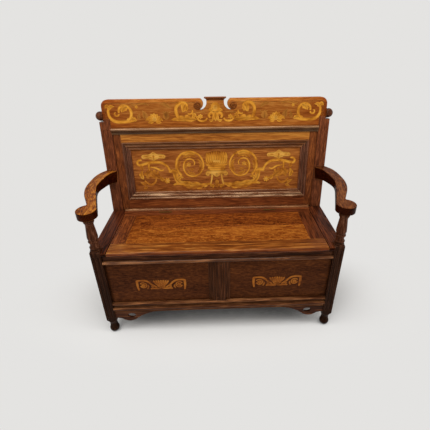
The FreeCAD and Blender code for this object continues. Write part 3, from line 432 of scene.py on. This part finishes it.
def fan(middle, start, stop, count, reach, width):  # drawn leaves that spread from one point
    leaves = []
    for k in range(count):
        turn = radians(start + (stop - start) * k / (count - 1))
        near, far = 0.12 * reach, reach * (1 - 0.1 * abs(2 * k / (count - 1) - 1))  # outer ones are shorter
        leaves.append([(middle[0] + r * cos(turn), middle[1] + r * sin(turn))
                       for r in (near, 0.5 * (near + far), far)])
    return [("leaf", points, (width, width), (0, 0)) for points in leaves]


def curl(middle, outer, inner, start, stop, count):  # points on a spiral, angles in degrees
    points = []
    for k in range(count):
        t = k / (count - 1)
        turn, r = radians(start + (stop - start) * t), outer + (inner - outer) * t ** 0.8
        points.append((middle[0] + r * cos(turn), middle[1] + r * sin(turn)))
    return points


def joinPieces(pieces, name):
    pick(*pieces)
    if len(pieces) > 1:
        bpy.ops.object.join()
    pieces[0].name = name
    return pieces[0]


def mirrorCopy(piece, middleX):  # the other hand of a piece, about a line at middleX
    pick(piece)
    bpy.ops.object.duplicate()
    other = bpy.context.object
    bpy.ops.transform.resize(value=(-1, 1, 1), center_override=(middleX * mm, 0, 0))
    bpy.ops.object.transform_apply(location=True, rotation=True, scale=True)
    if other.data.polygons[0].normal.y > 0:
        turnFaces(other)
    return other


def turnFaces(piece):
    bpy.ops.object.mode_set(mode="EDIT")
    bpy.ops.mesh.select_all(action="SELECT")
    bpy.ops.mesh.flip_normals()
    bpy.ops.object.mode_set(mode="OBJECT")


def thicken(piece, depth):
    pick(piece)
    wall = piece.modifiers.new("veneerThickness", "SOLIDIFY")
    wall.thickness = depth * mm
    wall.offset = -1
    bpy.ops.object.modifier_apply(modifier=wall.name)


veneers = {
    "boxwood": dict(dark="#9C6420", middle="#D29238", light="#E6AE50"),
    "satinwood": dict(dark="#925214", middle="#CE8628", light="#E6A43C"),
    "pearwood": dict(dark="#783C0E", middle="#B2691F", light="#CA862E"),
    "fadedHolly": dict(dark="#7A4818", middle="#A86A28", light="#BC7C32"),
    "walnut": dict(dark="#5A2E0C", middle="#965218", light="#B06C26"),
}


def veneer(name, dark, middle, light):  # straight-grained veneer under the same polish as the oak
    mat, tree = newMaterial(name)
    cut = addNode(tree, "ShaderNodeAttribute", attribute_name="veneer")
    parts = addNode(tree, "ShaderNodeSeparateXYZ", {0: cut.outputs["Vector"]})
    place = addNode(tree, "ShaderNodeTexCoord")
    # Grain 1.5 mm wide that follows each leaf
    streak = addNode(tree, "ShaderNodeMapping", {"Vector": cut.outputs["Vector"], "Scale": (0.06, 1, 0)})
    fibres = addNode(tree, "ShaderNodeTexNoise", {"Vector": streak.outputs[0], "Scale": 640, "Detail": 3})
    cloud = addNode(tree, "ShaderNodeTexNoise", {"Vector": place.outputs["Object"], "Scale": 26, "Detail": 2})
    tone = addNode(tree, "ShaderNodeMixRGB", {"Fac": 0.5, "Color1": fibres.outputs["Fac"],
                                              "Color2": cloud.outputs["Fac"]})
    colour = addNode(tree, "ShaderNodeValToRGB", {"Fac": tone.outputs[0]},
                     stops=((0.36, dark), (0.47, middle), (0.62, light)))
    # Sand scorching: brown where the attribute's third part is high, at leaf roots and between lobes
    scorch = addNode(tree, "ShaderNodeMath", {0: parts.outputs[2], 1: 1.15}, operation="MULTIPLY")
    burnt = addNode(tree, "ShaderNodeMixRGB", {"Fac": scorch.outputs[0], "Color1": colour.outputs[0],
                                               "Color2": linear("#4E2209")})
    rough = addNode(tree, "ShaderNodeMapRange", {"Value": fibres.outputs["Fac"], "To Min": 0.34,
                                                 "To Max": 0.24})
    bump = addNode(tree, "ShaderNodeBump", {"Height": fibres.outputs["Fac"], "Strength": 0.08,
                                            "Distance": 0.0004})
    shader = addNode(tree, "ShaderNodeBsdfPrincipled", {
        "Base Color": burnt.outputs[0], "Roughness": rough.outputs[0], "Normal": bump.outputs[0],
        "Specular IOR Level": 0.12, "Coat Weight": 0.03, "Coat Roughness": 0.16, **shellac})
    addNode(tree, "ShaderNodeOutputMaterial", {"Surface": shader.outputs[0]})
    return mat


veneerFinish = {wood: veneer(wood + "Veneer", **tones) for wood, tones in veneers.items()}


def cutInlay(name, onFace, half, whole, middleX=0.0):  # half is drawn once and mirrored
    shapes = {"leaf": leaf, "band": band, "flower": flower}
    lift = inlay["proud"]
    made = {}
    for drawing, twice in ((half, True), (whole, False)):
        for wood, kind, points, *sizes in drawing:
            piece = shapes[kind](onFace, points, *sizes, lift)
            lift += inlay["step"]
            made.setdefault(wood, ([], []))[0 if twice else 1].append(piece)
    finished = []
    for wood, (handed, single) in made.items():
        pieces = list(single)
        if handed:
            right = joinPieces(handed, name)
            pieces += [right, mirrorCopy(right, middleX)]
        sheet = joinPieces(pieces, name + "_" + wood)
        thicken(sheet, inlay["thick"])
        sheet.data.materials.clear()
        sheet.data.materials.append(veneerFinish[wood])
        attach(sheet, "carcase")
        finished.append(sheet)
    return finished


def inWood(wood, items):
    return [(wood,) + item for item in items]


# Crest: drawn for the right half, in mm from the middle of the back and up its slope
crestHalf = [
    ("satinwood", "band", [(92, 449), (130, 450), (170, 450), (202, 447)], (11, 17, 7)),
    ("satinwood", "flower", [(281, 456)], 17, 0),
    ("satinwood", "flower", [(137, 497)], 13, 0),
    ("satinwood", "band", [(368, 450), (392, 443), (424, 440), (454, 442), (474, 451), (485, 468), (487, 486),
                           (482, 500)], (9, 12, 8)),
    ("satinwood", "leaf", [(484, 494), (474, 508), (456, 508)], (8, 7), (0, 0)),
    ("satinwood", "leaf", [(480, 500), (490, 509), (500, 500)], (8, 7), (0, 0)),
    ("satinwood", "leaf", [(362, 444), (384, 453), (412, 446)], (11, 7), (3, 0)),
    ("satinwood", "band", [(400, 446), (388, 460), (383, 480), (389, 498), (404, 509), (424, 509), (438, 497),
                           (440, 480)], (9, 11, 7)),
    ("satinwood", "leaf", [(398, 506), (414, 500), (428, 482)], (15, 12), (3, 0)),
    ("satinwood", "band", curl((452, 477), 13, 6, 185, 430, 8), (6, 7, 4)),
    ("fadedHolly", "leaf", [(326, 452), (324, 470), (334, 490)], (11, 9), (0, 0)),
    ("fadedHolly", "leaf", [(350, 450), (352, 462), (346, 480)], (7, 6), (0, 0)),
    ("fadedHolly", "band", [(300, 512), (320, 518), (344, 517), (366, 511), (380, 517)], (4, 6, 4)),
    ("satinwood", "flower", [(358, 505)], 7, 5),
    ("satinwood", "leaf", [(298, 446), (310, 452), (324, 443)], (6, 6), (0, 0)),
    ("satinwood", "leaf", [(264, 446), (253, 450), (242, 443)], (6, 6), (0, 0)),
    *inWood("satinwood", fan((281, 443), 196, -16, 9, 36, 7.5)),
    ("boxwood", "flower", [(281, 450)], 11, 7),
    ("fadedHolly", "leaf", [(229, 447), (227, 466), (230, 487)], (13, 13), (0, 0)),
    ("fadedHolly", "band", [(204, 480), (224, 478), (244, 482)], (3, 5, 3)),
    ("fadedHolly", "leaf", [(206, 500), (224, 512), (250, 516)], (8, 7), (2, 0)),
    ("satinwood", "leaf", [(86, 446), (112, 448), (142, 450), (174, 449), (208, 446)], (15, 11), (4, 2)),
    ("satinwood", "band", [(170, 452), (178, 474), (179, 496), (170, 512), (152, 520), (134, 516),
                           (126, 504)], (11, 13, 8)),
    ("satinwood", "leaf", [(134, 515), (142, 500), (151, 478)], (13, 13), (0, 3)),
    ("satinwood", "leaf", [(128, 504), (132, 492), (130, 482)], (8, 7), (0, 0)),
    ("satinwood", "band", [(104, 488), (107, 477), (116, 471), (128, 472)], (6, 7, 4)),
    ("satinwood", "band", [(38, 452), (46, 443), (60, 439), (76, 443), (86, 454)], (6, 8, 6)),
    ("satinwood", "leaf", [(74, 452), (84, 456), (92, 462)], (5, 5), (0, 0)),
    ("satinwood", "flower", [(69, 459)], 11, 6),
    ("satinwood", "flower", [(98, 466)], 11, 6),
    ("fadedHolly", "band", [(46, 478), (62, 480), (78, 477), (92, 478)], (3, 4, 3)),
    ("satinwood", "band", curl((20, 463), 16, 9, 235, -70, 9), (9, 11, 7)),
    ("satinwood", "leaf", [(3, 474), (8, 456), (14, 438)], (7, 7), (0, 0)),
    ("satinwood", "leaf", [(12, 482), (24, 488), (34, 484)], (6, 5), (0, 0)),
    ("satinwood", "leaf", [(12, 443), (22, 440), (32, 446)], (5, 5), (0, 0)),
]
crestWhole = [
    ("satinwood", "flower", [(0, 499)], 19, 0),
    *inWood("satinwood", fan((0, 499), -30, 210, 9, 25, 8)),
    ("boxwood", "flower", [(0, 499)], 12, 9),
    ("satinwood", "leaf", [(0, 480), (0, 458), (0, 436)], (9, 9), (0, 0)),
]

# Back panel: vase and acanthus scrolls, again the right half
panelHalf = [
    ("satinwood", "band", [(62, 127), (100, 127), (140, 128), (184, 136), (220, 128)], (7, 24, 6)),
    ("satinwood", "band", [(184, 142), (200, 160), (205, 184), (202, 208)], (14, 18, 9)),
    ("pearwood", "band", [(288, 172), (312, 180), (348, 186)], (16, 26, 14)),
    ("satinwood", "leaf", [(36, 134), (70, 122), (104, 124), (140, 130), (182, 142), (224, 128)], (14, 17),
     (4, 5)),
    ("pearwood", "leaf", [(60, 124), (104, 116), (150, 116), (190, 128)], (4, 8), (0, 4)),
    ("satinwood", "leaf", [(34, 135), (52, 126), (78, 122)], (5, 5), (0, 0)),
    ("satinwood", "leaf", [(184, 134), (202, 158), (208, 190), (204, 212)], (14, 9), (3, 0)),
    ("satinwood", "leaf", [(196, 152), (182, 166), (164, 167)], (7, 7), (2, 0)),
    ("satinwood", "band", curl((131, 228), 68, 66, -50, 205, 13), (11, 8, 7)),
    ("satinwood", "leaf", [(104, 281), (134, 290), (166, 276)], (8, 7), (0, 0)),
    ("satinwood", "band", [(72, 200), (92, 178), (120, 171), (146, 180), (161, 204), (161, 234), (146, 256),
                           (122, 257), (108, 242), (112, 226)], (7, 7, 4)),
    ("satinwood", "leaf", [(62, 214), (76, 209), (92, 206)], (6, 6), (0, 0)),
    ("pearwood", "leaf", [(94, 190), (76, 216), (80, 244), (98, 262)], (5, 9), (0, 4)),
    ("pearwood", "leaf", [(98, 266), (124, 277), (152, 272), (174, 252)], (6, 9), (0, 4)),
    ("pearwood", "leaf", [(178, 252), (188, 230), (184, 202)], (6, 9), (0, 3)),
    ("pearwood", "leaf", [(104, 182), (128, 186), (148, 204)], (8, 6), (3, 0)),
    ("pearwood", "leaf", [(150, 212), (152, 230), (140, 244)], (7, 5), (2, 0)),
    ("pearwood", "leaf", [(112, 208), (124, 206), (138, 212)], (5, 5), (0, 0)),
    ("satinwood", "flower", [(136, 231)], 12, 6),
    ("boxwood", "flower", [(136, 231)], 6, 0),
    ("satinwood", "band", [(196, 198), (216, 200), (238, 196)], (11, 15, 8)),
    ("satinwood", "band", [(230, 200), (242, 222), (259, 238), (280, 245), (306, 247), (332, 243), (355, 236),
                           (378, 232), (387, 243), (380, 255), (364, 257)], (9, 12, 7)),
    ("satinwood", "band", [(260, 208), (276, 204), (300, 217), (328, 222)], (5, 8, 4)),
    ("satinwood", "band", [(332, 240), (333, 222), (331, 204)], (7, 8, 6)),
    ("pearwood", "leaf", [(364, 208), (368, 220), (372, 234)], (8, 7), (0, 0)),
    ("boxwood", "band", [(252, 273), (276, 275), (306, 273), (336, 275), (361, 273)], (14, 18, 14)),
    ("boxwood", "leaf", [(306, 276), (306, 287), (306, 298)], (12, 12), (0, 0)),
    ("boxwood", "band", [(284, 283), (306, 285), (328, 283)], (5, 6, 5)),
    ("boxwood", "band", [(284, 264), (306, 262), (328, 264)], (5, 6, 5)),
    ("boxwood", "leaf", [(306, 270), (306, 261), (306, 252)], (11, 11), (0, 0)),
    ("boxwood", "flower", [(257, 273)], 9, 0),
    ("boxwood", "flower", [(355, 273)], 9, 0),
    ("pearwood", "band", [(264, 274), (272, 274), (280, 274)], (3, 4, 3)),
    ("pearwood", "band", [(334, 274), (342, 274), (350, 274)], (3, 4, 3)),
    ("pearwood", "flower", [(306, 274)], 5, 0),
    ("satinwood", "flower", [(249, 151)], 15, 7),
    ("boxwood", "flower", [(249, 151)], 6, 0),
    ("satinwood", "leaf", [(264, 150), (274, 160), (286, 174)], (8, 8), (0, 0)),
    ("pearwood", "leaf", [(284, 162), (306, 184), (338, 204)], (20, 17), (4, 3)),
    ("pearwood", "leaf", [(322, 204), (344, 186), (340, 160)], (14, 12), (3, 0)),
    ("satinwood", "leaf", [(366, 160), (374, 182), (364, 206)], (9, 9), (0, 3)),
    ("pearwood", "band", [(302, 160), (311, 142), (330, 132), (348, 139), (360, 154)], (7, 10, 7)),
    ("pearwood", "leaf", [(354, 128), (366, 136), (384, 146)], (7, 6), (0, 0)),
    ("pearwood", "leaf", [(350, 124), (358, 116), (372, 110)], (6, 6), (0, 0)),
    ("boxwood", "band", curl((44, 182), 10, 4, 95, -230, 9), (7, 8, 5)),
    ("boxwood", "band", [(24, 180), (26, 156), (34, 122)], (8, 7, 6)),
    ("satinwood", "leaf", [(12, 121), (24, 118), (38, 132)], (8, 8), (0, 2)),
]
panelWhole = [
    ("pearwood", "band", [(-53, 259), (-26, 261), (26, 261), (53, 259)], (40, 52, 40)),
    ("pearwood", "band", [(-44, 212), (-20, 211), (20, 211), (44, 212)], (14, 18, 14)),
    *inWood("pearwood", fan((0, 222), 12, 168, 11, 72, 10)),
    *inWood("satinwood", [
        ("leaf", [(x * 0.85, 228), (x * 1.06, 262), (x * 1.04, 298 - abs(x) * 0.14)], (6, 6), (0, 0))
        for x in (-44, -33, -22, -11, 0, 11, 22, 33, 44)]),
    ("boxwood", "band", [(-17, 246), (-6, 246), (6, 246), (17, 246)], (8, 9, 8)),
    ("satinwood", "band", [(-52, 228), (-26, 226), (26, 226), (52, 228)], (6, 8, 6)),
    ("satinwood", "band", [(-44, 216), (-22, 214), (22, 214), (44, 216)], (8, 12, 8)),
    ("satinwood", "band", [(-36, 204), (-18, 203), (18, 203), (36, 204)], (6, 9, 6)),
    ("boxwood", "band", [(-50, 191), (-22, 189), (22, 189), (50, 191)], (12, 16, 12)),
    ("boxwood", "leaf", [(0, 186), (0, 177), (0, 164)], (15, 15), (0, 0)),
    ("pearwood", "leaf", [(0, 108), (0, 130), (0, 156)], (11, 11), (2, 2)),
]

# Front panels: a long scroll with a palmette, one each side of the middle post
frontHalf = [
    ("walnut", "band", [(103, -36), (106, -8), (106, 25)], (6, 8, 9)),
    ("walnut", "band", [(108, 20), (92, 22), (72, 21), (55, 12), (38, -6), (20, -19)], (7, 7.5, 6)),
    ("walnut", "band", curl((80, -6), 16, 13, 30, 350, 12), (4, 4.5, 4)),
    ("walnut", "flower", [(80, -6)], 10, 5),
    ("walnut", "band", [(50, -27), (36, -25), (18, -26), (0, -25)], (6, 7, 7)),
    ("walnut", "leaf", [(44, -21), (38, -9), (42, 2)], (5, 5), (0, 0)),
    ("walnut", "leaf", [(64, -29), (58, -14), (60, -2)], (3, 3), (0, 0)),
]
frontWhole = [
    *inWood("walnut", [("band", [(0.35 * x, -14), (0.8 * x, 6), (x, 23 - abs(x) * 0.1)], (2.5, 6, 7))
                       for x in (-33, -22, -11, 0, 11, 22, 33)]),
    ("walnut", "band", [(-18, -13), (-8, -17), (8, -17), (18, -13)], (3, 4, 3)),
]

cutInlay("crest_inlay", onCrest, crestHalf, crestWhole)
print("crest inlay laid")
cutInlay("panel_inlay", onPanel, panelHalf, panelWhole)
print("back panel inlay laid")
for sheet in cutInlay("front_inlay_right", onFront, frontHalf, frontWhole,
                      inlay["frontX"]):
    other = mirrorCopy(sheet, 0)
    other.name = sheet.name.replace("right", "left")
    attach(other, "carcase")
print("front inlays laid")

# Carved scrolls beside the crest's cut-outs: a raised spiral round a button, on a dark disc that is
# painted shade standing for a sunk carving
volute = {"middle": (80.5, 507.5), "paintedShadeDisc": 19.5, "outer": 16.5, "inner": 6.5, "turns": (215, 790),
          "points": 16, "width": 6.4, "rise": 1.6, "paintedShadeDiscLift": 0.1, "lift": 0.15, "thick": 0.6,
          "section": ((-1, 0), (-0.7, 0.8), (0, 1), (0.7, 0.8), (1, 0)), "dome": 0.9}
# The button's place across its middle, half width there and height, in mm
button = ((-4.4, 0.6, 0), (-3.6, 2.6, 1), (-2, 4, 1.7), (0, 4.5, 2), (2, 4, 1.7), (3.6, 2.6, 1),
          (4.4, 0.6, 0))


def carveVolute(name):
    middle = volute["middle"]
    paintedShadeDisc = flower(onCrest, [middle], volute["paintedShadeDisc"], 0, volute["paintedShadeDiscLift"])
    line = flow(curl(middle, volute["outer"], volute["inner"], *volute["turns"], volute["points"]), 4)
    section = [(share * volute["width"] / 2, 0, 0, high * volute["rise"])
               for share, high in volute["section"]]
    spiral = layStrip(onCrest, line, [section] * len(line), volute["lift"])
    line = [Vector((middle[0] + place, middle[1])) for place, half, high in button]
    rows = [[(c * half, 0, 0, high * (1 - c * c * volute["dome"])) for c in (-1, -0.6, 0, 0.6, 1)]
            for place, half, high in button]
    boss = layStrip(onCrest, line, rows, volute["lift"])
    return joinPieces([paintedShadeDisc, spiral, boss], name)


volutes = [carveVolute("crest_volute_right")]
volutes.append(mirrorCopy(volutes[0], 0))
volutes[1].name = "crest_volute_left"
# The carving and its disc are coloured dark as painted shade, standing for a sunk carving.
carved = oak("carvedStainedOak", **timber["carved"])
for piece in volutes:
    thicken(piece, volute["thick"])
    bpy.ops.object.shade_smooth()
    piece.data.materials.clear()
    piece.data.materials.append(carved)
    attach(piece, "carcase")
print("crest volutes carved")

# Camera at the photograph's place, fitted to the leg, seat and crest lines of its 430 x 430 frame
eye = {"place": (-0.0006, -1.3210, 1.2635), "yaw": 1.894, "pitch": 29.486, "roll": -0.432,
       "focal": 322.42, "frame": 430, "right": 11.96, "up": 0.49}  # metres, degrees and pixels
lens = bpy.data.cameras.new("photoLens")
lens.sensor_width = 36
lens.lens = eye["focal"] / eye["frame"] * lens.sensor_width
lens.shift_x = -eye["right"] / eye["frame"]
lens.shift_y = -eye["up"] / eye["frame"]
camera = bpy.data.objects.new("photoCamera", lens)
bpy.context.scene.collection.objects.link(camera)
aim = (Matrix.Rotation(radians(-eye["yaw"]), 4, "Z") @ Matrix.Rotation(radians(90 - eye["pitch"]), 4, "X")
       @ Matrix.Rotation(radians(eye["roll"]), 4, "Z"))
camera.matrix_world = Matrix.Translation(eye["place"]) @ aim
bpy.context.scene.camera = camera

# Pale studio: floor and surroundings show the same pale grey to the eye; the floor keeps a soft shadow,
# darkened under the settle by a painted shadow
studio = {"pale": "#E4E3E1", "paper": "#EDECEA", "floorHalf": 9.0, "roomLight": 0.5, "shadowShare": 0.96,
          "shadowReach": (0.27, 0.66), "shadowOval": (0.55, 1.35, 0), "paintedShadowReach": 0.35}


def seenDirectly(tree):  # 1 where the camera, a mirror or glass looks at it, 0 where it lights something
    path = addNode(tree, "ShaderNodeLightPath")
    eyes = addNode(tree, "ShaderNodeMath", {0: path.outputs["Is Camera Ray"],
                                            1: path.outputs["Is Glossy Ray"]}, operation="MAXIMUM")
    return addNode(tree, "ShaderNodeMath", {0: eyes.outputs[0], 1: path.outputs["Is Transmission Ray"]},
                   operation="MAXIMUM").outputs[0]


def paleFloor(name):  # the shadow's share fades out round the settle
    mat, tree = newMaterial(name)
    place = addNode(tree, "ShaderNodeTexCoord")
    oval = addNode(tree, "ShaderNodeMapping", {"Vector": place.outputs["Object"],
                                               "Scale": studio["shadowOval"]})
    away = addNode(tree, "ShaderNodeVectorMath", {0: oval.outputs[0]}, operation="LENGTH")
    near, far = studio["shadowReach"]
    shadow = addNode(tree, "ShaderNodeMapRange", {"Value": away.outputs["Value"], "From Min": near,
                                                  "From Max": far, "To Min": studio["shadowShare"],
                                                  "To Max": 0.0}, interpolation_type="SMOOTHSTEP")
    # Painted shadow: the paper darkens where the settle closes over it
    under = addNode(tree, "ShaderNodeAmbientOcclusion", {"Distance": studio["paintedShadowReach"]}, samples=16)
    paintedShadow = addNode(tree, "ShaderNodeValToRGB", {"Fac": under.outputs["AO"]}, stops=((0.28, 0.03), (0.5, 1.0)))
    sheet = addNode(tree, "ShaderNodeMixRGB", {"Fac": 1.0, "Color1": linear(studio["paper"]),
                                               "Color2": paintedShadow.outputs[0]}, blend_type="MULTIPLY")
    lit = addNode(tree, "ShaderNodeBsdfDiffuse", {"Color": sheet.outputs[0], "Roughness": 0.9})
    glow = addNode(tree, "ShaderNodeEmission", {"Color": linear(studio["pale"]), "Strength": 1.0})
    rest = addNode(tree, "ShaderNodeMath", {0: 1.0, 1: shadow.outputs[0]}, operation="SUBTRACT")
    share = addNode(tree, "ShaderNodeMath", {0: seenDirectly(tree), 1: rest.outputs[0]}, operation="MULTIPLY")
    both = addNode(tree, "ShaderNodeMixShader", {0: share.outputs[0], 1: lit.outputs[0], 2: glow.outputs[0]})
    addNode(tree, "ShaderNodeOutputMaterial", {"Surface": both.outputs[0]})
    return mat


pick()
bpy.ops.mesh.primitive_plane_add(size=2 * studio["floorHalf"], location=(0, 0, 0))
floor = bpy.context.object
floor.name = "studioFloor"
floor.data.materials.append(paleFloor("palePaper"))

world = bpy.data.worlds.new("paleRoom")
bpy.context.scene.world = world
world.use_nodes = True
room = world.node_tree
room.nodes.clear()
strength = addNode(room, "ShaderNodeMapRange", {"Value": seenDirectly(room), "To Min": studio["roomLight"],
                                                "To Max": 1.0})
sky = addNode(room, "ShaderNodeBackground", {"Color": linear(studio["pale"]),
                                             "Strength": strength.outputs[0]})
addNode(room, "ShaderNodeOutputWorld", {"Surface": sky.outputs[0]})


def lamp(name, place, size, power):  # a rectangle that faces the middle of the settle
    light = bpy.data.lights.new(name, "AREA")
    light.shape = "RECTANGLE"
    light.size, light.size_y = size
    light.energy = power
    holder = bpy.data.objects.new(name, light)
    bpy.context.scene.collection.objects.link(holder)
    holder.location = place
    holder.rotation_mode = "QUATERNION"
    holder.rotation_quaternion = (Vector((0, 0, 0.5)) - Vector(place)).to_track_quat("-Z", "Y")


lamp("ceilingPanel", (-0.3, -0.6, 2.9), (2.4, 1.2), 42)
lamp("frontPanel", (-1.6, -2.6, 2.0), (1.4, 1.4), 24)
lamp("sidePanel", (2.6, -0.8, 1.8), (1.2, 1.6), 16)
bpy.context.scene.view_settings.view_transform = "Standard"

print("camera, floor and lights in place")
